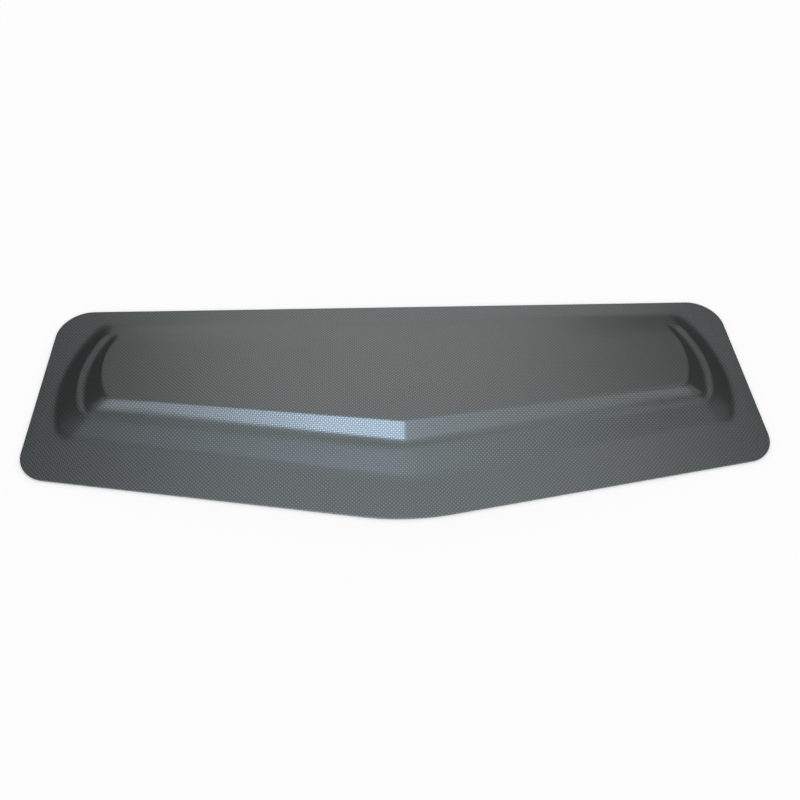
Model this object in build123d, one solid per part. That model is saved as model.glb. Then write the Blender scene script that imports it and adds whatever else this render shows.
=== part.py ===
"""Bonnet scoop: one moulded sheet of carbon-fibre laminate, open underneath.

A flat flange, widest at the nose, runs round a low mound with sloping walls and a ledge on top.
On the ledge stands a raised deck with a swept-back V face, which falls away to the rear. The
ledge wraps round both ends of the deck on concentric arcs. All sizes are in millimetres. While
modelling, Y = 0 is the tip of the nose and Y grows to the rear; at the end the part is moved so
that its origin lies under the middle of its box, on the flange plane.
"""

import math
import os

from build123d import *

# The panel as seen from above.
FRONT_WIDTH = 764.0  # over the front corners before they are rounded
REAR_WIDTH = 755.0  # over the rear corners before they are rounded
PANEL_DEPTH = 274.0  # tip of the nose before rounding, to the rear edge
NOSE_SWEEP = 9.0  # degrees that each half of the front edge is swept back
NOSE_RADIUS = 280.0
FRONT_CORNER_RADIUS = 32.0
REAR_CORNER_RADIUS = 36.0
LAMINATE = 2.0  # thickness of the cured laminate

# The flange left flat around the mound. At the nose it follows from the walls.
SIDE_FLANGE = 22.0
REAR_FLANGE = 20.0

# The ends of the mound and of the deck, concentric arcs in plan.
END_SETBACK = 10.5  # centre of the end arcs, behind the middle of the mound
END_OVERRUN = 54.5  # how far the mound's end arcs would run on past its rear foot
LEDGE_END_WIDTH = 11.0  # ledge round the deck's ends, at its rear

# Levels above the flange's underside.
DECK_HEIGHT = 33.5  # top of the V face, on the centre line
LEDGE_HEIGHT = 16.5  # ledge at the foot of the V face, on the centre line
LEDGE_REAR_HEIGHT = 9.0  # ledge where it meets the rear wall
DECK_REAR_STEP = 1.6  # deck plane above the ledge, over that place

# The V face.
DECK_SETBACK = 95.5  # tip of the nose to the top of the V face
DECK_SWEEP = 9.0  # degrees that each half of the V face is swept back
LEDGE_WIDTH = 9.0  # ledge in front of the V face

# Slopes of the walls, in degrees from the flange plane.
FACE_SLOPE = 48.0
DECK_END_SLOPE = 30.0
FRONT_SLOPE = 30.0
END_SLOPE = 28.0
REAR_SLOPE = 20.0

# Roundings of the outer skin.
DECK_NOSE_RADIUS = 14.0  # nose of the V face, in plan
DECK_CORNER_RADIUS = 11.0
DECK_RIM_RADIUS = 4.0
DECK_FOOT_RADIUS = 7.0
MOUND_NOSE_RADIUS = 120.0  # nose of the mound's front wall, in plan
MOUND_CORNER_RADIUS = 50.0
MOUND_REAR_CORNER_RADIUS = 20.0
MOUND_RIM_RADIUS = 7.0
MOUND_FOOT_RADIUS = 9.0

NEAR = 0.01  # an edge this close to a plane or to another edge counts as lying on it


def tangent(degrees):
    """Tangent of an angle in degrees."""
    return math.tan(math.radians(degrees))


# Where the walls stand, and how the ledge falls.
START = LAMINATE / 2  # the tiers start inside the flange, so that they join it
MOUND_REAR = PANEL_DEPTH - REAR_FLANGE
FACE_FOOT = DECK_SETBACK - (DECK_HEIGHT - LEDGE_HEIGHT) / tangent(FACE_SLOPE)
LEDGE_REAR = MOUND_REAR - (LEDGE_REAR_HEIGHT - LAMINATE) / tangent(REAR_SLOPE)
LEDGE_FALL = (LEDGE_HEIGHT - LEDGE_REAR_HEIGHT) / (LEDGE_REAR - FACE_FOOT)
FRONT_RISE = LEDGE_HEIGHT + LEDGE_FALL * LEDGE_WIDTH - LAMINATE
MOUND_FRONT = FACE_FOOT - LEDGE_WIDTH - FRONT_RISE / tangent(FRONT_SLOPE)

# The front wall is swept a little more than the V face, so that the falling ledge keeps its width.
FRONT_SWEEP = math.degrees(math.atan(tangent(DECK_SWEEP) * (1 + LEDGE_FALL / tangent(FRONT_SLOPE))))

# Where the end arcs are centred, and their radii at the mound's foot and at the rear of the ledge.
END_Y = (MOUND_FRONT + MOUND_REAR) / 2 + END_SETBACK
END_RADIUS = MOUND_REAR - END_Y + END_OVERRUN
LEDGE_END_RADIUS = END_RADIUS - (LEDGE_REAR_HEIGHT - LAMINATE) / tangent(END_SLOPE)
DECK_END_RADIUS = LEDGE_END_RADIUS - LEDGE_END_WIDTH
CORNER_Y = FRONT_WIDTH / 2 * tangent(NOSE_SWEEP)
SIDE_TAPER = (FRONT_WIDTH - REAR_WIDTH) / 2 / (PANEL_DEPTH - CORNER_Y)
END_X = FRONT_WIDTH / 2 - SIDE_TAPER * (END_Y - CORNER_Y) - SIDE_FLANGE - END_RADIUS


def falling_plane(front_y, front_z, rear_z):
    """Plane level across the panel that falls from the front to the rear of the ledge."""
    fall = (front_z - rear_z) / (LEDGE_REAR - front_y)
    return Plane(origin=(0, front_y, front_z), x_dir=(1, 0, 0), z_dir=(0, fall, 1))


DECK_PLANE = falling_plane(DECK_SETBACK, DECK_HEIGHT, LEDGE_REAR_HEIGHT + DECK_REAR_STEP)
LEDGE_PLANE = falling_plane(FACE_FOOT, LEDGE_HEIGHT, LEDGE_REAR_HEIGHT)
START_PLANE = Plane.XY.offset(START)


def moved_in(inset, slope):
    """How far a wall's foot moves in, when the skin is sunk by an inset and keeps its thickness."""
    return inset * tangent(slope / 2)


def lying_on(edge, plane):
    """Whether an edge lies on a plane, by its two ends and its middle."""
    return all(abs(plane.to_local_coords(edge @ at).Z) < NEAR for at in (0, 0.5, 1))


def corners(solid, top_plane, front):
    """Edges where the round ends of a tier meet its swept front, or else its rear wall."""
    found = []
    for edge in solid.edges():
        middle = edge @ 0.5
        level = lying_on(edge, top_plane) or lying_on(edge, START_PLANE)
        if abs(middle.X) > END_X and (middle.Y < END_Y) == front and not level:
            found.append(edge)
    return found


def panel_outline():
    """Rounded outline of the whole panel, with the swept nose in front."""
    front, rear = FRONT_WIDTH / 2, REAR_WIDTH / 2
    outline = Polygon(
        (0, 0),
        (front, CORNER_Y),
        (rear, PANEL_DEPTH),
        (-rear, PANEL_DEPTH),
        (-front, CORNER_Y),
        align=None,
    )
    outline = fillet(outline.vertices().sort_by(Axis.Y)[-2:], REAR_CORNER_RADIUS)
    outline = fillet(outline.vertices().sort_by(Axis.Y)[1:3], FRONT_CORNER_RADIUS)
    return fillet(outline.vertices().sort_by(Axis.Y)[:1], NOSE_RADIUS)


def swept_front(nose_y, nose_z, sweep, slope, nose_radius):
    """Prism of all that lies behind a swept nose, with its front leaning back at a slope."""
    reach = FRONT_WIDTH
    plan = Polygon(
        (0, 0),
        (reach, reach * tangent(sweep)),
        (reach, 2 * reach),
        (-reach, 2 * reach),
        (-reach, reach * tangent(sweep)),
        align=None,
    )
    plan = fillet(plan.vertices().sort_by(Axis.Y)[:1], nose_radius)
    lean = Vector(0, 1 / tangent(slope), 1)
    start = Vector(0, nose_y, nose_z) - lean * (nose_z - START)
    return extrude(Pos(*start) * plan, amount=2 * DECK_HEIGHT * lean.length, dir=lean)


def round_ended_block(end_radius, level, slope, height):
    """Long block whose ends are cones about the end centres, with the radius at a level."""
    seat = (Align.CENTER, Align.CENTER, Align.MIN)
    low = end_radius + (level - START) / tangent(slope)
    high = low - height / tangent(slope)
    block = Pos(0, END_Y, START) * Box(2 * END_X, 2 * PANEL_DEPTH, height, align=seat)
    for side in (-1, 1):
        block += Pos(side * END_X, END_Y, START) * Cone(low, high, height, align=seat)
    return block


def rear_wall(inset):
    """Plane of the wall behind the mound and the deck."""
    foot = (0, MOUND_REAR - moved_in(inset, REAR_SLOPE), LAMINATE)
    return Plane(foot, x_dir=(1, 0, 0), z_dir=(0, tangent(REAR_SLOPE), 1))


def tier(block, front, top_plane, corner_radius, inset):
    """A block cut to its swept front, its falling top and the rear wall, with round corners."""
    solid = block & front
    for plane in (top_plane, rear_wall(inset)):
        solid = split(solid, bisect_by=plane, keep=Keep.BOTTOM)
    return fillet(corners(solid, top_plane, True), corner_radius - inset)


def mound(inset):
    """Lower tier: the front, end and rear walls of the mound, cut off level with the ledge."""
    end_radius = END_RADIUS - moved_in(inset, END_SLOPE)
    nose_y = MOUND_FRONT + moved_in(inset, FRONT_SLOPE)
    block = round_ended_block(end_radius, LAMINATE, END_SLOPE, 2 * LEDGE_HEIGHT)
    front = swept_front(nose_y, LAMINATE, FRONT_SWEEP, FRONT_SLOPE, MOUND_NOSE_RADIUS - inset)
    solid = tier(block, front, LEDGE_PLANE, MOUND_CORNER_RADIUS, inset)
    return fillet(corners(solid, LEDGE_PLANE, False), MOUND_REAR_CORNER_RADIUS - inset)


def deck(inset):
    """Upper tier: the V face and the deck's end walls, cut off by the falling deck plane."""
    end_radius = DECK_END_RADIUS - moved_in(inset, DECK_END_SLOPE)
    nose_y = FACE_FOOT + moved_in(inset, FACE_SLOPE)
    block = round_ended_block(end_radius, LEDGE_REAR_HEIGHT, DECK_END_SLOPE, DECK_HEIGHT + LAMINATE)
    front = swept_front(nose_y, LEDGE_HEIGHT, DECK_SWEEP, FACE_SLOPE, DECK_NOSE_RADIUS - inset)
    return tier(block, front, DECK_PLANE, DECK_CORNER_RADIUS, inset)


def rim_edges(form, plane, inset):
    """Edges on a falling plane, apart from those along the rear wall."""
    on_plane = [edge for edge in form.edges() if lying_on(edge, plane)]
    return [edge for edge in on_plane if not lying_on(edge, rear_wall(inset))]


def beside(edge, shapes):
    """Whether the middle of an edge lies on one of some shapes."""
    middle = Vertex(edge @ 0.5)
    return min(shape.distance_to(middle) for shape in shapes) < NEAR


def with_deck(base, inset):
    """A base with the deck on its ledge: a cove at the deck's foot, then soft rims on both levels."""
    upper = deck(inset)
    mound_rim = rim_edges(base, LEDGE_PLANE, inset)
    form = base + upper
    foot = [edge for edge in rim_edges(form, LEDGE_PLANE, inset) if beside(edge, [upper])]
    form = fillet(foot, DECK_FOOT_RADIUS + inset)
    outer = [edge for edge in rim_edges(form, LEDGE_PLANE, inset) if beside(edge, mound_rim)]
    form = fillet(outer, MOUND_RIM_RADIUS - inset)
    return fillet(rim_edges(form, DECK_PLANE, inset), DECK_RIM_RADIUS - inset)


def foot_loop(shell, level):
    """Edges at a level of the flange, apart from the panel's own border."""
    border = (Pos(0, 0, level) * panel_outline()).wire()
    at_level = [edge for edge in shell.edges() if lying_on(edge, Plane.XY.offset(level))]
    return [edge for edge in at_level if border.distance_to(Vertex(edge @ 0.5)) > NEAR]


def scoop_shell():
    """Flange and raised skin, hollowed from below to one thickness throughout."""
    skin = extrude(panel_outline(), LAMINATE) + mound(0)
    skin = fillet(foot_loop(skin, LAMINATE), MOUND_FOOT_RADIUS)
    skin = with_deck(skin, 0)
    hollow = Pos(0, 0, -LAMINATE) * with_deck(mound(LAMINATE), LAMINATE)
    shell = skin - hollow
    return fillet(foot_loop(shell, 0), MOUND_FOOT_RADIUS + LAMINATE).solid()


def main():
    """Bring the origin under the middle of the part's box and write the part."""
    shell = scoop_shell()
    box = shell.bounding_box()
    shell = Pos(0, -(box.min.Y + box.max.Y) / 2) * shell
    os.makedirs("parts", exist_ok=True)
    export_step(shell, "parts/scoop_shell.step")
    print("scoop_shell", shell.bounding_box().size, "volume", round(shell.volume), "mm3")


main()
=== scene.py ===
# %% [markdown]
# # A moulded carbon-fibre bonnet scoop
# The real object is one thin sheet. Cloth woven from carbon tows is laid in a mould, soaked with
# resin, cured and trimmed. A flat flange runs all round, a low mound rises from it, and a deck with
# a V-shaped face stands on the mound's ledge.
# The solid model is loaded first, as a fixed frame that nothing here moves or resizes. The lesson
# then works out the visible skin as a numpy surface, weaves its finish from shader nodes, and lights
# it in a small white studio.

import bpy
import numpy as np
from mathutils import Matrix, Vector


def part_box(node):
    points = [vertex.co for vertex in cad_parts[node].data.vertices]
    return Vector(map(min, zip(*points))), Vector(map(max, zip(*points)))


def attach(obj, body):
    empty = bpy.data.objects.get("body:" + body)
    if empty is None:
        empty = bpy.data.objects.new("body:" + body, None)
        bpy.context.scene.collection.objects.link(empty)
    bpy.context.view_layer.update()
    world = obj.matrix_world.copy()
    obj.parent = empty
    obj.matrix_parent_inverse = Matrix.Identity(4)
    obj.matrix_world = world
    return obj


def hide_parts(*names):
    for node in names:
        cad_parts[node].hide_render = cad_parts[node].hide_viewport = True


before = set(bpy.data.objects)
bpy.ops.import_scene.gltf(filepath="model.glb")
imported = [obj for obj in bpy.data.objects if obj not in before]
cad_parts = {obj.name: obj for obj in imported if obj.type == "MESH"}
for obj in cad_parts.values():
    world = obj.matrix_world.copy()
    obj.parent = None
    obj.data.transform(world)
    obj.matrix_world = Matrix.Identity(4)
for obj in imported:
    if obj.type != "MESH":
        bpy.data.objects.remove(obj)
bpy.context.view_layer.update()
MM = 0.001  # the shapes below are worked out in millimetres and stored in metres
solid_low, solid_high = (np.array(corner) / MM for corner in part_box("scoop_shell"))
print("solid size in mm:", np.round(solid_high - solid_low, 2))

# %% [markdown]
# ## The trimmed outline
# After curing, the sheet is cut to a long outline with a swept nose and round corners. It could be
# drawn as a curve object, but a formula is easier to reuse, because the skin later needs border
# points at any distance along it. Each corner becomes an arc that touches both of its sides, and the
# straight runs are simply what lies between two arcs. Only the right half is worked out, and the
# left half is its mirror image.

# %% The right half of the outline
FRONT_HALF, REAR_HALF = 382.0, 377.5  # half widths over the corners, before they are rounded
PANEL_DEPTH = 274.0  # tip of the nose to the rear edge; Y is 0 at the tip while shaping
NOSE_SWEEP = np.radians(9.0)
NOSE_RADIUS, FRONT_CORNER_RADIUS, REAR_CORNER_RADIUS = 280.0, 32.0, 36.0
CORNER_Y = FRONT_HALF * np.tan(NOSE_SWEEP)
ARC_STEPS = 60


def rounded_corner(before, corner, after, radius):
    """Arc that touches both sides of a corner.

    The centre lies on the corner's bisector at radius / sin(half angle). The points turn evenly
    about it from one touching point to the other: centre + radius * slerp(first, last).
    """
    before, corner, after = map(np.array, (before, corner, after))
    to_before = (before - corner) / np.linalg.norm(before - corner)
    to_after = (after - corner) / np.linalg.norm(after - corner)
    half = np.arccos(to_before @ to_after) / 2
    bisector = (to_before + to_after) / np.linalg.norm(to_before + to_after)
    centre = corner + bisector * radius / np.sin(half)
    first = (corner + to_before * radius / np.tan(half) - centre) / radius
    last = (corner + to_after * radius / np.tan(half) - centre) / radius
    turn = np.pi - 2 * half
    share = np.linspace(0, 1, ARC_STEPS)[:, None]
    turned = np.sin((1 - share) * turn) * first + np.sin(share * turn) * last
    return centre + radius * turned / np.sin(turn)


nose, front_corner, rear_corner = (0, 0), (FRONT_HALF, CORNER_Y), (REAR_HALF, PANEL_DEPTH)
nose_arc = rounded_corner((-FRONT_HALF, CORNER_Y), nose, front_corner, NOSE_RADIUS)
half_border = np.concatenate([
    nose_arc[nose_arc[:, 0] >= 0],
    rounded_corner(nose, front_corner, rear_corner, FRONT_CORNER_RADIUS),
    rounded_corner(front_corner, rear_corner, (-REAR_HALF, PANEL_DEPTH), REAR_CORNER_RADIUS),
    [(0, PANEL_DEPTH)],
])
half_border[0, 0] = 0
border_run = np.append(0, np.cumsum(np.linalg.norm(np.diff(half_border, axis=0), axis=1)))
print("half outline:", len(half_border), "points,", round(border_run[-1]), "mm long")

# %% [markdown]
# ## Where the walls stand
# On a mould maker's drawing a few heights, widths and slopes drive all the rest. A wall's foot
# follows from the height that it climbs and from its slope. The round ends of mound and deck share
# one centre on each side, so that the ledge between them wraps the deck. The places could be typed
# in, but worked out like this the form stays whole when one size changes.

# %% Sizes that drive the form, and the places that follow
LAMINATE = 2.0  # thickness of the sheet, so also the height of the flange's top
SIDE_FLANGE, REAR_FLANGE = 22.0, 20.0
DECK_TOP_Y, DECK_HEIGHT = 95.5, 33.5  # top of the V face, on the centre line
LEDGE_HEIGHT, LEDGE_REAR_HEIGHT = 16.5, 9.0  # at the foot of the V face, and at the rear wall
DECK_REAR_STEP = 1.6  # from the ledge up to the deck, at the rear wall
LEDGE_WIDTH, LEDGE_END_WIDTH = 9.0, 11.0  # in front of the V face, and round the deck's ends
END_SETBACK, END_OVERRUN = 10.5, 54.5  # end centres behind the mound's middle, arcs past its rear
FACE_SWEEP, FACE_SLOPE = np.radians(9.0), np.radians(48.0)
FRONT_SLOPE, END_SLOPE, REAR_SLOPE, DECK_END_SLOPE = np.radians((30.0, 28.0, 20.0, 30.0))

MOUND_REAR = PANEL_DEPTH - REAR_FLANGE
FACE_FOOT = DECK_TOP_Y - (DECK_HEIGHT - LEDGE_HEIGHT) / np.tan(FACE_SLOPE)
LEDGE_REAR = MOUND_REAR - (LEDGE_REAR_HEIGHT - LAMINATE) / np.tan(REAR_SLOPE)
LEDGE_FALL = (LEDGE_HEIGHT - LEDGE_REAR_HEIGHT) / (LEDGE_REAR - FACE_FOOT)
FRONT_RISE = LEDGE_HEIGHT + LEDGE_FALL * LEDGE_WIDTH - LAMINATE
MOUND_FRONT = FACE_FOOT - LEDGE_WIDTH - FRONT_RISE / np.tan(FRONT_SLOPE)
FRONT_SWEEP = np.arctan(np.tan(FACE_SWEEP) * (1 + LEDGE_FALL / np.tan(FRONT_SLOPE)))
END_Y = (MOUND_FRONT + MOUND_REAR) / 2 + END_SETBACK
MOUND_END_RADIUS = MOUND_REAR - END_Y + END_OVERRUN  # at the flange
LEDGE_END_RADIUS = MOUND_END_RADIUS - (LEDGE_REAR_HEIGHT - LAMINATE) / np.tan(END_SLOPE)
DECK_END_RADIUS = LEDGE_END_RADIUS - LEDGE_END_WIDTH  # at the ledge's rear height
SIDE_TAPER = (FRONT_HALF - REAR_HALF) / (PANEL_DEPTH - CORNER_Y)
END_X = FRONT_HALF - SIDE_TAPER * (END_Y - CORNER_Y) - SIDE_FLANGE - MOUND_END_RADIUS
print("mound from y = %.1f to %.1f mm" % (MOUND_FRONT, MOUND_REAR))
print("end centres at x = +-%.1f, y = %.1f mm" % (END_X, END_Y))

# %% [markdown]
# ## The faces of the mould
# A mould maker would cut this form from a few plain faces: two falling planes for the deck and the
# ledge, swept faces for the mound's front and the V, cones for the round ends, and a rear slope. Each
# is written here as a height over the plan. Every face also returns its two slopes, because the
# roundings and the thickness of the sheet need to know which way it leans.

# %% Faces as heights with slopes
OUT_OF_THE_WAY = 1000.0  # a height above everything
TINY = 1e-9  # keeps a division away from nought


def falling_face(y, start_y, start_z, end_y, end_z):
    """Level across the panel, and straight from (start_y, start_z) to (end_y, end_z)."""
    slope = (end_z - start_z) / (end_y - start_y)
    return np.array([start_z + slope * (y - start_y), 0 * y, slope + 0 * y])


def swept_face(x, y, nose_y, nose_z, sweep, slope, nose_radius):
    """Height = nose_z + tan(slope) * (y - nose_y - tan(sweep) * |x|).

    Within nose_radius * sin(sweep) of the middle, |x| is rounded to a parabola that touches it.
    """
    reach = nose_radius * np.sin(sweep)
    away = np.where(np.abs(x) < reach, (x * x / reach + reach) / 2, np.abs(x))
    rise = np.tan(slope)
    height = nose_z + rise * (y - nose_y - np.tan(sweep) * away)
    return np.array([height, -rise * np.tan(sweep) * np.clip(x / reach, -1, 1), rise + 0 * y])


def end_face(x, y, radius, level, slope):
    """Cone about each end centre: height = level + tan(slope) * (radius - distance).

    Between the two centres there is no end wall, so there the face is far above everything.
    """
    out = np.maximum(np.abs(x) - END_X, 0)
    back = y - END_Y
    distance = np.maximum(np.hypot(out, back), TINY)
    rise = np.tan(slope)
    height = np.where(out > 0, level + rise * (radius - distance), OUT_OF_THE_WAY)
    return np.array([height, -rise * np.sign(x) * out / distance, -rise * back / distance])


end_foot = end_face(END_X + MOUND_END_RADIUS, END_Y, MOUND_END_RADIUS, LAMINATE, END_SLOPE)
print("the mound's end wall starts %.1f mm up, with a slope of %.2f outwards" % tuple(end_foot[:2]))

# %% [markdown]
# ## Rounding where faces meet
# Cloth can't be pressed into a sharp corner, so every edge of the mould is rounded. Bevelling a
# finished mesh would be one way. On heights there is a neater one: the lower of two faces is taken,
# and near their meeting line a parabola eases from one to the other. The parabola starts where a
# real fillet of that radius would touch the faces, which the slopes tell.

# %% Rounded minimum and maximum
def rounded_min(a, b, radius):
    """The lower of two faces, eased where a fillet of the radius would touch them.

    With d the slope difference and angle the bend between the faces, the fillet touches at
    radius * tan(angle / 2) from the crease, measured square to it, and there the heights differ
    by ease = |d| * that distance in plan. The result is the minimum less
    (ease - |a - b|)^2 / (4 * ease) where that bracket is positive.
    """
    difference = a[1:] - b[1:]
    steep = np.maximum(np.hypot(*difference), TINY)
    along = (a[1] * -difference[1] + a[2] * difference[0]) / steep
    length_a, length_b = (np.sqrt(1 + f[1] ** 2 + f[2] ** 2) for f in (a, b))
    cosine = np.clip((1 + a[1] * b[1] + a[2] * b[2]) / (length_a * length_b), -1, 1)
    touch = radius * np.sqrt((1 - cosine) / (1 + cosine))
    plan_share = np.sqrt(1 + along ** 2) * (1 / length_a + 1 / length_b) / 2
    ease = np.maximum(steep * touch * plan_share, TINY)
    share = np.clip(0.5 + (b[0] - a[0]) / (2 * ease), 0, 1)
    blended = share * a + (1 - share) * b
    blended[0] -= ease * share * (1 - share)
    return blended


def rounded_max(a, b, radius):
    """The higher of two faces: the rounded minimum, turned upside down."""
    return -rounded_min(-a, -b, radius)


roof = np.array([0.0, -1.0, 0.0]), np.array([0.0, 1.0, 0.0])
print("a 90 degree roof rounded at 10 mm loses %.2f mm of height" % -rounded_min(*roof, 10.0)[0])

# %% [markdown]
# ## The moulded skin
# Now the faces are joined in the order in which the form stacks up. Front, ends and rear slope make
# the mound, which is cut off by the ledge. V face, ends and deck plane make the deck, and its plane
# bends into the rear slope. The higher of the two counts, with a cove at the deck's foot, and all of
# it rises out of the flange. Two roundings aren't even: the photograph shows the cove widen towards
# the V face's ends, and the mound's foot fade out at the rear. Their radii change with the place.

# %% Height of the skin at any place
FACE_NOSE_RADIUS, FRONT_NOSE_RADIUS = 14.0, 120.0  # noses of V face and front wall, in plan
DECK_CORNER_RADIUS, DECK_RIM_RADIUS, REAR_BEND_RADIUS = 11.0, 4.0, 150.0
MOUND_CORNER_RADIUS, MOUND_REAR_CORNER_RADIUS, MOUND_RIM_RADIUS = 50.0, 35.0, 7.0
COVE_PLACES, COVE_RADII = (0.0, 130.0, 260.0, 310.0), (7.0, 10.0, 17.0, 11.0)  # out from the middle
FOOT_PLACES, FOOT_RADII = (200.0, MOUND_REAR), (15.0, 30.0)  # back from the nose


def skin(x, y):
    """Height and slopes of the top skin: max of flange, mound and deck, each a min of its faces."""
    deck_rear_height = LEDGE_REAR_HEIGHT + DECK_REAR_STEP
    deck_top = falling_face(y, DECK_TOP_Y, DECK_HEIGHT, LEDGE_REAR, deck_rear_height)
    ledge = falling_face(y, FACE_FOOT, LEDGE_HEIGHT, LEDGE_REAR, LEDGE_REAR_HEIGHT)
    rear = falling_face(y, MOUND_REAR, LAMINATE, MOUND_REAR - 1, LAMINATE + np.tan(REAR_SLOPE))
    front = swept_face(x, y, MOUND_FRONT, LAMINATE, FRONT_SWEEP, FRONT_SLOPE, FRONT_NOSE_RADIUS)
    face = swept_face(x, y, FACE_FOOT, LEDGE_HEIGHT, FACE_SWEEP, FACE_SLOPE, FACE_NOSE_RADIUS)
    mound_end = end_face(x, y, MOUND_END_RADIUS, LAMINATE, END_SLOPE)
    deck_end = end_face(x, y, DECK_END_RADIUS, LEDGE_REAR_HEIGHT, DECK_END_SLOPE)
    flange = falling_face(y, 0, LAMINATE, PANEL_DEPTH, LAMINATE)
    mound = rounded_min(front, mound_end, MOUND_CORNER_RADIUS)
    mound = rounded_min(mound, rear, MOUND_REAR_CORNER_RADIUS)
    mound = rounded_min(mound, ledge, MOUND_RIM_RADIUS)
    deck_top = rounded_min(deck_top, rear, REAR_BEND_RADIUS)
    deck = rounded_min(rounded_min(face, deck_end, DECK_CORNER_RADIUS), deck_top, DECK_RIM_RADIUS)
    cove_radius = np.interp(np.abs(x), COVE_PLACES, COVE_RADII)
    foot_radius = np.interp(y, FOOT_PLACES, FOOT_RADII)
    return rounded_max(rounded_max(mound, deck, cove_radius), flange, foot_radius)


centre_line = skin(np.zeros(500), np.linspace(0, PANEL_DEPTH, 500))[0]
print("highest point %.2f mm, solid %.2f mm" % (centre_line.max(), solid_high[2]))

# %% [markdown]
# ## A grid of rings
# The mesh is one profile carried round the panel. A bent spine runs along the deck, and from it
# straight rays go out to the border: side by side along the front and rear, and like a fan round
# each end. Rings cross the rays all the way round, so mesh lines follow the border and the V.

# %% Rays from the spine to the border
HALF_COLUMNS = 84  # rays on each side of the middle, along the front and again along the rear
FAN_COLUMNS = 110  # rays round each end
CROWDING = 0.5  # 0 spaces the rays evenly; towards 1 they crowd at the nose, where the V bends

even = np.linspace(0, 1, HALF_COLUMNS)
station_x = END_X * ((1 - CROWDING) * even + CROWDING * even ** 2)
front_run = np.interp(station_x, half_border[:ARC_STEPS, 0], border_run[:ARC_STEPS])
rear_run = border_run[-1] - station_x[::-1]
fan_run = np.linspace(front_run[-1], rear_run[0], FAN_COLUMNS + 2)[1:-1]
column_run = np.concatenate([front_run, fan_run, rear_run])
spine_x = np.concatenate([station_x, np.full(FAN_COLUMNS, END_X), station_x[::-1]])
spine_y = END_Y - (END_X - spine_x) * np.tan(NOSE_SWEEP)
border_x, border_y = (np.interp(column_run, border_run, half_border[:, axis]) for axis in (0, 1))


def both_sides(values, mirrored):
    """A closed loop of columns: the right half, then its mirror image back to the nose."""
    return np.concatenate([values, (-1 if mirrored else 1) * values[-2:0:-1]])


spine_x, border_x = both_sides(spine_x, True), both_sides(border_x, True)
spine_y, border_y = both_sides(spine_y, False), both_sides(border_y, False)
print(len(spine_x), "rays; border from x = %.1f to %.1f mm" % (border_x.min(), border_x.max()))

# %% [markdown]
# ## Rings that gather at the bends
# Evenly spaced rings would waste faces on the flat deck and skimp on the roundings. So each ray is
# first sampled finely. Its own length, plus an allowance for each change of slope, is added up
# along it, and the rings are placed at equal steps of that sum.

# %% Places of the rings along each ray
RINGS = 62
BEND_ALLOWANCE = 22.0  # mm of ray that a change of slope of 1 counts for
SMOOTHING = 5  # neighbouring rays whose sums are averaged, so that rings run smoothly
SAMPLES = 500


def along_rays(share):
    """Points on the rays: spine + share * (border - spine), one row for each ray."""
    x = spine_x[:, None] + share * (border_x - spine_x)[:, None]
    y = spine_y[:, None] + share * (border_y - spine_y)[:, None]
    return x, y


fine_share = np.linspace(0, 1, SAMPLES)
fine_x, fine_y = along_rays(fine_share)
_, slope_x, slope_y = skin(fine_x, fine_y)
ray_length = np.hypot(border_x - spine_x, border_y - spine_y)[:, None]
bend = np.hypot(np.diff(slope_x, axis=1), np.diff(slope_y, axis=1))
weight = np.cumsum(ray_length / (SAMPLES - 1) + BEND_ALLOWANCE * bend, axis=1)
weight = np.concatenate([np.zeros((len(weight), 1)), weight], axis=1)
weight = sum(np.roll(weight, shift, axis=0) for shift in range(-SMOOTHING, SMOOTHING + 1))
weight /= weight[:, -1:]
even_ring = np.linspace(0, 1, RINGS)
ring_share = np.array([np.interp(even_ring, row, fine_share) for row in weight])
print("closest rings %.2f mm apart" % (np.diff(ring_share, axis=1) * ray_length).min())

# %% [markdown]
# ## From skin to sheet
# The sheet has the same thickness everywhere. Its underside is the top moved back along the
# surface's own normal, which is (-slope across, -slope back, 1) made one unit long. At the border
# the cut edge is sanded a little round. Top, edge and underside become one closed strip of rings,
# from the spine outwards, round the edge and back to the spine.

# %% Top, cut edge and underside as one array
SANDED = 0.35  # radius of the sanded edge
RING_BEFORE_EDGE = 1.1  # a ring this far from the border keeps the flange's shading flat

edge_rings = 1 - np.array([RING_BEFORE_EDGE, SANDED]) / ray_length
ring_share = np.concatenate([ring_share[:, :-1] * edge_rings[:, :1], edge_rings], axis=1)
top_x, top_y = along_rays(ring_share)
top_z, slope_x, slope_y = skin(top_x, top_y)
normal = np.stack([-slope_x, -slope_y, np.ones_like(top_z)], axis=-1)
normal /= np.linalg.norm(normal, axis=-1, keepdims=True)
top = np.stack([top_x, top_y, top_z], axis=-1)
under = top - LAMINATE * normal
edge_z = np.array([LAMINATE - SANDED, SANDED])  # two rings between the sanded roundings
edge = np.stack(np.broadcast_arrays(border_x[:, None], border_y[:, None], edge_z), axis=-1)
sheet = np.concatenate([top, edge, under[:, ::-1]], axis=1)
print("sheet grid:", sheet.shape[0], "rays by", sheet.shape[1], "rings")
print("lowest point of the sheet: z = %.3f mm" % sheet[..., 2].min())

# %% [markdown]
# ## The lie of the cloth
# The weave has to follow the sheet. Seen from straight above, a pattern would stretch on the steep
# faces, but real cloth is laid down into them and its tows keep their width. So the texture map
# holds distances measured along the skin: across the panel from its middle, and back from its nose.

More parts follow.
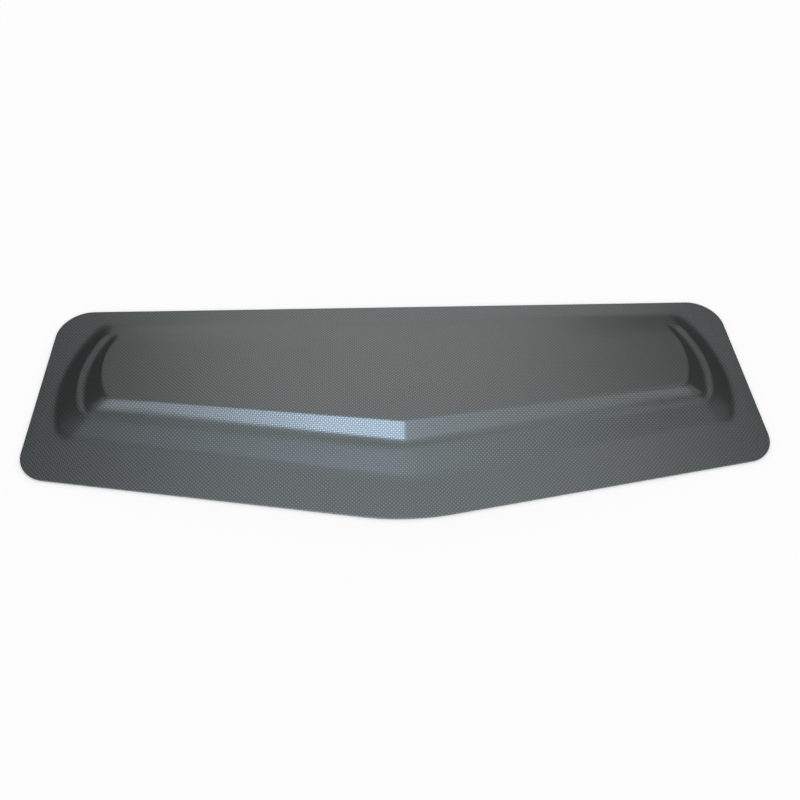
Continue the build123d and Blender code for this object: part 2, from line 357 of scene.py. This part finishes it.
# %% Distances along the skin, used as a texture map
DRAPE_STEP = 1.0  # mm between the places where slopes are added up
drape_x = np.arange(-FRONT_HALF, FRONT_HALF + DRAPE_STEP, DRAPE_STEP)
drape_y = np.arange(0, PANEL_DEPTH + DRAPE_STEP, DRAPE_STEP)
_, drape_slope_x, drape_slope_y = skin(*np.meshgrid(drape_x, drape_y, indexing="ij"))
across = np.cumsum(np.sqrt(1 + drape_slope_x ** 2), axis=0) * DRAPE_STEP
across -= across[len(drape_x) // 2]
back = np.cumsum(np.sqrt(1 + drape_slope_y ** 2), axis=1) * DRAPE_STEP


def read_between(table, x, y):
    """Bilinear reading of a table of the drape grid at any points."""
    i, j = (x - drape_x[0]) / DRAPE_STEP, (y - drape_y[0]) / DRAPE_STEP
    i0 = np.clip(i.astype(int), 0, len(drape_x) - 2)
    j0 = np.clip(j.astype(int), 0, len(drape_y) - 2)
    p, q = i - i0, j - j0
    low = table[i0, j0] * (1 - p) + table[i0 + 1, j0] * p
    high = table[i0, j0 + 1] * (1 - p) + table[i0 + 1, j0 + 1] * p
    return low * (1 - q) + high * q


edge_x, edge_y = edge[..., 0], edge[..., 1]
cloth_x = np.concatenate([top_x, edge_x, top_x[:, ::-1]], axis=1)
cloth_y = np.concatenate([top_y, edge_y, top_y[:, ::-1]], axis=1)
cloth = np.stack([read_between(table, cloth_x, cloth_y) for table in (across, back)], axis=-1)
print("cloth measures %.0f by %.0f mm along the skin" % tuple(np.ptp(cloth, axis=(0, 1))))

# %% [markdown]
# ## The mesh
# Neighbouring rays and rings span four-sided faces. On the spine the front and rear rays start from
# the same places, and round each end a whole fan starts from one point, so equal points are merged
# there. What were four-sided faces at a fan's point are then triangles.

# %% Put the sheet into a mesh
SAME_POINT_DIGITS = 5  # points whose millimetres agree to so many decimals are one point


def merged_grid(grid):
    """Points and faces of a grid that is closed along its first axis, with equal points merged."""
    columns, rings = grid.shape[:2]
    number = np.arange(columns * rings).reshape(columns, rings)
    beside = np.roll(number, -1, axis=0)
    quads = np.stack([number[:, :-1], number[:, 1:], beside[:, 1:], beside[:, :-1]], axis=-1)
    points = grid.reshape(-1, 3)
    rounded = np.round(points, SAME_POINT_DIGITS)
    _, first, merged = np.unique(rounded, axis=0, return_index=True, return_inverse=True)
    quads = merged.reshape(-1)[quads.reshape(-1, 4)]
    at_top, at_bottom = quads[:, 0] == quads[:, 3], quads[:, 1] == quads[:, 2]
    whole = quads[~(at_top | at_bottom)].tolist()
    fans = quads[at_top][:, :3].tolist() + quads[at_bottom][:, [0, 1, 3]].tolist()
    return points[first], first, whole + fans


points, first, faces = merged_grid(sheet)
points[:, 1] += solid_high[1] - PANEL_DEPTH  # the solid's origin lies under the middle of its box
mesh = bpy.data.meshes.new("carbon_sheet")
mesh.from_pydata((points * MM).tolist(), [], faces)
corner_vertex = np.empty(len(mesh.loops), dtype=np.int32)
mesh.loops.foreach_get("vertex_index", corner_vertex)
cloth_map = mesh.uv_layers.new(name="cloth")
corner_cloth = cloth.reshape(-1, 2)[first][corner_vertex] * MM
cloth_map.data.foreach_set("uv", corner_cloth.astype(np.float32).ravel())
mesh.polygons.foreach_set("use_smooth", np.ones(len(mesh.polygons), dtype=bool))
mesh.update()
carbon_sheet = bpy.data.objects.new("carbon_sheet", mesh)
bpy.context.collection.objects.link(carbon_sheet)
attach(carbon_sheet, "root")
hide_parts("scoop_shell")
triangles = len(mesh.loops) - 2 * len(mesh.polygons)
print("carbon sheet:", len(mesh.vertices), "vertices,", triangles, "triangles")

# %% [markdown]
# ## Plain weave
# In plain weave each tow goes over one crossing tow and under the next, so the surface reads as a
# fine checker of little pillows. An image could be tiled, but a formula stays sharp at any
# distance. Place along the cloth is counted in tows. Odd and even crossings show the tow that runs
# across or the one that runs back, and each pillow is highest along the middle of its tow.
# The lacquered top and the bare back share it, so it is a node group.

# %% The weave as a node group
ROUND_ACROSS, ROUND_ALONG = 0.6, 0.35  # powers that flatten a pillow's sine, the lower the flatter


def wire(tree, target, source):
    """Link a socket to a node's input, or set the input to a plain value."""
    if isinstance(source, bpy.types.NodeSocket):
        tree.links.new(source, target)
    else:
        target.default_value = source


def calculate(tree, operation, *sources):
    """A Math node on sockets or values; returns its result."""
    node = tree.nodes.new("ShaderNodeMath")
    node.operation = operation
    for target, source in zip(node.inputs, sources):
        wire(tree, target, source)
    return node.outputs[0]


def plain_weave_group():
    """Node group: cloth position and tow width in, pillow height and which tow lies on top out.

    With u and v counted in tows, a crossing is even where floor(u) + floor(v) is. The pillow is
    sin(pi * place across the tow) ^ ROUND_ACROSS * sin(pi * place along it) ^ ROUND_ALONG.
    """
    group = bpy.data.node_groups.new("plain_weave", "ShaderNodeTree")
    group.interface.new_socket("Cloth", in_out="INPUT", socket_type="NodeSocketVector")
    group.interface.new_socket("Tow Width", in_out="INPUT", socket_type="NodeSocketFloat")
    group.interface.new_socket("Pillow", in_out="OUTPUT", socket_type="NodeSocketFloat")
    group.interface.new_socket("Tow Across", in_out="OUTPUT", socket_type="NodeSocketFloat")
    entry, leave = group.nodes.new("NodeGroupInput"), group.nodes.new("NodeGroupOutput")
    axes = group.nodes.new("ShaderNodeSeparateXYZ")
    wire(group, axes.inputs[0], entry.outputs["Cloth"])
    u, v = (calculate(group, "DIVIDE", axes.outputs[i], entry.outputs["Tow Width"]) for i in (0, 1))
    count = calculate(group, "ADD", calculate(group, "FLOOR", u), calculate(group, "FLOOR", v))
    tow_across = calculate(group, "FLOORED_MODULO", count, 2.0)
    waves = [calculate(group, "SINE", calculate(group, "MULTIPLY", place, np.pi)) for place in (u, v)]
    swell_u, swell_v = (calculate(group, "ABSOLUTE", wave) for wave in waves)
    pillows = []
    for side, lengthwise in ((swell_u, swell_v), (swell_v, swell_u)):
        rounded = calculate(group, "POWER", side, ROUND_ACROSS)
        ends = calculate(group, "POWER", lengthwise, ROUND_ALONG)
        pillows.append(calculate(group, "MULTIPLY", rounded, ends))
    mix = group.nodes.new("ShaderNodeMix")
    for target, source in zip((mix.inputs[0], mix.inputs[2], mix.inputs[3]), (tow_across, *pillows)):
        wire(group, target, source)
    wire(group, leave.inputs["Pillow"], mix.outputs[0])
    wire(group, leave.inputs["Tow Across"], tow_across)
    return group


plain_weave = plain_weave_group()
print("weave group with", len(plain_weave.nodes), "nodes")

# %% [markdown]
# ## Carbon under lacquer
# Carbon tows shine like dull metal, grey rather than black, and a satin lacquer lies over them. The
# two directions of tow catch the light differently, which is what makes the checker show. Here that
# difference is painted into the base colour as two tow greys, a painted sheen beside the bump. An image
# of real cloth could be used, but the weave group gives the checker at any size. The lacquer itself
# stays smooth, so the bump shapes only the layer below it.

# %% The lacquered side
TOW_WIDTH = 2.0 * MM
CLOUD_SCALE = 9.0  # the gloss changes slowly, over about a tenth of a metre
COAT_ROUGHNESS = 0.3


def colour_mix(tree, factor, first, second):
    """Colour between two, by a factor."""
    node = tree.nodes.new("ShaderNodeMix")
    node.data_type = "RGBA"
    for target, source in zip((node.inputs[0], node.inputs[6], node.inputs[7]), (factor, first, second)):
        wire(tree, target, source)
    return node.outputs[2]


def carbon_material(name, tow_back, tow_across, between, metallic, smoothest, roughest, depth, coat):
    """Woven carbon: two tow greys that hold a painted sheen, darker between the pillows, with a slow
    change of gloss.
    """
    material = bpy.data.materials.new(name)
    material.use_nodes = True
    tree = material.node_tree
    shader = tree.nodes["Principled BSDF"]
    cloth_place = tree.nodes.new("ShaderNodeUVMap")
    cloth_place.uv_map = "cloth"
    weave = tree.nodes.new("ShaderNodeGroup")
    weave.node_tree = plain_weave
    wire(tree, weave.inputs["Cloth"], cloth_place.outputs["UV"])
    weave.inputs["Tow Width"].default_value = TOW_WIDTH
    # The two tow greys differ by painted sheen: one carbon, lighter or darker by how each tow direction
    # catches the light.
    tows = colour_mix(tree, weave.outputs["Tow Across"], tow_back, tow_across)
    wire(tree, shader.inputs["Base Color"], colour_mix(tree, weave.outputs["Pillow"], between, tows))
    place = tree.nodes.new("ShaderNodeTexCoord")
    cloud = tree.nodes.new("ShaderNodeTexNoise")
    cloud.inputs["Scale"].default_value = CLOUD_SCALE
    wire(tree, cloud.inputs["Vector"], place.outputs["Object"])
    gloss = tree.nodes.new("ShaderNodeMapRange")
    gloss.inputs["To Min"].default_value, gloss.inputs["To Max"].default_value = smoothest, roughest
    wire(tree, gloss.inputs["Value"], cloud.outputs["Fac"])
    wire(tree, shader.inputs["Roughness"], gloss.outputs["Result"])
    bump = tree.nodes.new("ShaderNodeBump")
    bump.inputs["Distance"].default_value = depth
    wire(tree, bump.inputs["Height"], weave.outputs["Pillow"])
    wire(tree, shader.inputs["Normal"], bump.outputs["Normal"])
    shader.inputs["Metallic"].default_value = metallic
    shader.inputs["Coat Weight"].default_value = coat
    shader.inputs["Coat Roughness"].default_value = COAT_ROUGHNESS
    return material


lacquered = carbon_material(
    "lacquered_carbon",
    # tow_back and tow_across: the carbon's grey, with a painted sheen that makes the across tows lighter
    tow_back=(0.14, 0.15, 0.146, 1), tow_across=(0.23, 0.245, 0.239, 1), between=(0.104, 0.111, 0.108, 1),
    metallic=0.95, smoothest=0.33, roughest=0.41, depth=0.09 * MM, coat=0.3,
)
print("lacquered carbon with", len(lacquered.node_tree.nodes), "nodes")

# %% [markdown]
# ## The back of the sheet
# The back never touched the polished mould: it is darker, rougher and has no lacquer. It could be a
# mesh of its own, but the real sheet is one piece, so each face of the one mesh takes its material
# by the way it points.

# %% The bare back, and which face gets which side
bare_back = carbon_material(
    "bare_carbon_back",
    # tow_back and tow_across: the back's grey, with a painted sheen that makes the across tows lighter
    tow_back=(0.07, 0.075, 0.074, 1), tow_across=(0.10, 0.105, 0.104, 1), between=(0.035, 0.037, 0.037, 1),
    metallic=0.4, smoothest=0.55, roughest=0.7, depth=0.14 * MM, coat=0.0,
)
for material in (lacquered, bare_back):
    mesh.materials.append(material)
FACES_DOWN = -0.1  # a face whose normal has a lower z than this is on the back
face_normals = np.empty(len(mesh.polygons) * 3, dtype=np.float32)
mesh.polygons.foreach_get("normal", face_normals)
mesh.polygons.foreach_set("material_index", (face_normals[2::3] < FACES_DOWN).astype(np.int32))
print("faces on the back:", int((face_normals[2::3] < FACES_DOWN).sum()), "of", len(mesh.polygons))

# %% [markdown]
# ## Floor and sky
# The scoop lies on a white floor under an even white sky, as in a light tent. Lamps could give the
# same level, but they would have to be balanced, while a sky of strength 1 shows a colour about as
# it is written. The skin doesn't mirror the floor, or that would wash out the dark round ends.

# %% A white floor under a white sky
def plain_material(name, colour, glow):
    """A flat colour: a matt floor paint, or with glow a card of even brightness."""
    material = bpy.data.materials.new(name)
    material.use_nodes = True
    shader = material.node_tree.nodes["Principled BSDF"]
    shader.inputs["Base Color"].default_value = (0, 0, 0, 1) if glow else colour
    shader.inputs["Roughness"].default_value = 1.0
    shader.inputs["Specular IOR Level"].default_value = 0.0
    shader.inputs["Emission Color"].default_value = colour
    shader.inputs["Emission Strength"].default_value = 1.0 if glow else 0.0
    return material


def stage_board(name, corners, material):
    """A flat board of the studio, which isn't part of the object, from its corners in order."""
    board_mesh = bpy.data.meshes.new(name)
    board_mesh.from_pydata(corners, [], [range(len(corners))])
    board_mesh.materials.append(material)
    board = bpy.data.objects.new(name, board_mesh)
    bpy.context.collection.objects.link(board)
    return board


def level_board(half_width, front, rear, height):
    """Corners of a level rectangle that lies evenly to both sides of the middle."""
    outline = [(-half_width, front), (half_width, front), (half_width, rear), (-half_width, rear)]
    return [(x, y, height) for x, y in outline]


FLOOR_HALF = 6.0  # the studio's sizes are in metres
floor_paint = plain_material("floor_paint", (0.985, 0.985, 0.985, 1), False)
floor = stage_board("floor", level_board(FLOOR_HALF, -FLOOR_HALF, FLOOR_HALF, 0), floor_paint)
floor.visible_glossy = False
world = bpy.data.worlds.new("white_sky")
bpy.context.scene.world = world
world.use_nodes = True
background = world.node_tree.nodes["Background"]
background.inputs["Color"].default_value = (1, 1, 1, 1)
background.inputs["Strength"].default_value = 1.0
print("floor of %.0f m on each side under" % (2 * FLOOR_HALF), world.name)

# %% [markdown]
# ## Cards to mirror
# The shape of a satin skin shows only through what it mirrors. A picture of a room could be wrapped
# round the scene for that, but plain cards are easier to place, as in a photographer's studio. They
# stand out of the picture and are there for mirror rays alone, so they cast no shade. Dark cards at
# the sides draw the round ends, a pale one at the rear calms the rear slope, and a bluish ceiling
# lifts the flange.

# %% Two side cards, a rear card and a ceiling
SIDE, FRONT, REAR, LOW = 1.1, -1.0, 3.0, -1.5  # where the cards stand
GAP_END, GAP_TOP = 0.1, 0.38  # each side card leaves a low gap at its front
LEFT_TOP, RIGHT_TOP, REAR_TOP = 2.4, 1.5, 0.8
CEILING_HALF, CEILING_FRONT, CEILING_REAR, CEILING_HEIGHT = 1.2, -3.0, 1.9, 3.2


def side_card(x, top):
    """Corners of an upright card along the object's side, with a gap cut out of its low front."""
    gap = [(FRONT, GAP_TOP), (GAP_END, GAP_TOP), (GAP_END, LOW)]
    return [(x, y, z) for y, z in [*gap, (REAR, LOW), (REAR, top), (FRONT, top)]]


CARDS = {
    "left_card": ((0.08, 0.08, 0.08, 1), side_card(-SIDE, LEFT_TOP)),
    "right_card": ((0.1, 0.1, 0.1, 1), side_card(SIDE, RIGHT_TOP)),
    "rear_card": (
        (0.8, 0.8, 0.8, 1),
        [(-SIDE, REAR, LOW), (SIDE, REAR, LOW), (SIDE, REAR, REAR_TOP), (-SIDE, REAR, REAR_TOP)],
    ),
    "ceiling_card": (
        (0.97, 1.08, 1.18, 1),
        level_board(CEILING_HALF, CEILING_FRONT, CEILING_REAR, CEILING_HEIGHT),
    ),
}
for name, (colour, corners) in CARDS.items():
    card = stage_board(name, corners, plain_material(name + "_paint", colour, True))
    card.visible_camera = card.visible_diffuse = card.visible_shadow = False
print("cards:", list(CARDS))

# %% [markdown]
# ## A window
# The left half of the V face is the brightest part of the photograph, and bluish, as if it faced a
# window. A rectangular lamp in front, a little to the left, stands where that half mirrors it. It
# could also be a bright card, but a lamp gives less noise. It lights only what shines, so the floor
# stays as it is.

# %% A window in front
WINDOW_PLACE, WINDOW_WIDTH, WINDOW_HEIGHT = (-0.31, -1.74, 0.94), 0.7, 0.6
WINDOW_POWER, SKY_BLUE = 17.0, (0.55, 0.73, 1.0)
window_light = bpy.data.lights.new("window", "AREA")
window_light.shape = "RECTANGLE"
window_light.size, window_light.size_y = WINDOW_WIDTH, WINDOW_HEIGHT
window_light.color = SKY_BLUE
window_light.energy = WINDOW_POWER
window = bpy.data.objects.new("window", window_light)
window.location = WINDOW_PLACE
window.rotation_euler = (-window.location).to_track_quat("-Z", "Y").to_euler()
window.visible_camera = window.visible_diffuse = False
bpy.context.collection.objects.link(window)
print("window of %.1f by %.1f m at" % (WINDOW_WIDTH, WINDOW_HEIGHT), WINDOW_PLACE)

# %% [markdown]
# ## The camera
# The photograph looks down at the panel from the front, from less than a metre away. Its place can
# be worked out from where the panel's corners fall in the picture. A camera's axes are three
# directions: where it looks, what is right in the picture, and what is down. Turning and rolling
# them and stepping back from the aim gives the camera's matrix.

# %% Camera at the photograph's angle
PICTURE = 800  # pixels on each side
FOCAL_PIXELS, CENTRE_BELOW_MIDDLE = 764.0, 5.0
SENSOR_WIDTH = 36.0  # mm
TILT, TURN, ROLL = np.radians((55.0, 5.07, -2.84))
DISTANCE, AIM = 0.80798, np.array([-0.00145, -0.001745, 0.0])

look = np.array([np.sin(TURN) * np.cos(TILT), np.cos(TURN) * np.cos(TILT), -np.sin(TILT)])
level_right = np.array([np.cos(TURN), -np.sin(TURN), 0.0])
level_down = np.cross(look, level_right)
right = np.cos(ROLL) * level_right + np.sin(ROLL) * level_down
down = -np.sin(ROLL) * level_right + np.cos(ROLL) * level_down
place = np.eye(4)
place[:3] = np.stack([right, -down, -look, AIM - DISTANCE * look], axis=1)

camera_data = bpy.data.cameras.new("camera")
camera_data.sensor_width = SENSOR_WIDTH
camera_data.lens = FOCAL_PIXELS / PICTURE * SENSOR_WIDTH
camera_data.shift_y = CENTRE_BELOW_MIDDLE / PICTURE
camera = bpy.data.objects.new("camera", camera_data)
camera.matrix_world = Matrix(place.tolist())
bpy.context.collection.objects.link(camera)
bpy.context.scene.camera = camera
bpy.context.scene.view_settings.view_transform = "Standard"
print("camera at", np.round(place[:3, 3], 3), "with a lens of %.2f mm" % camera_data.lens)
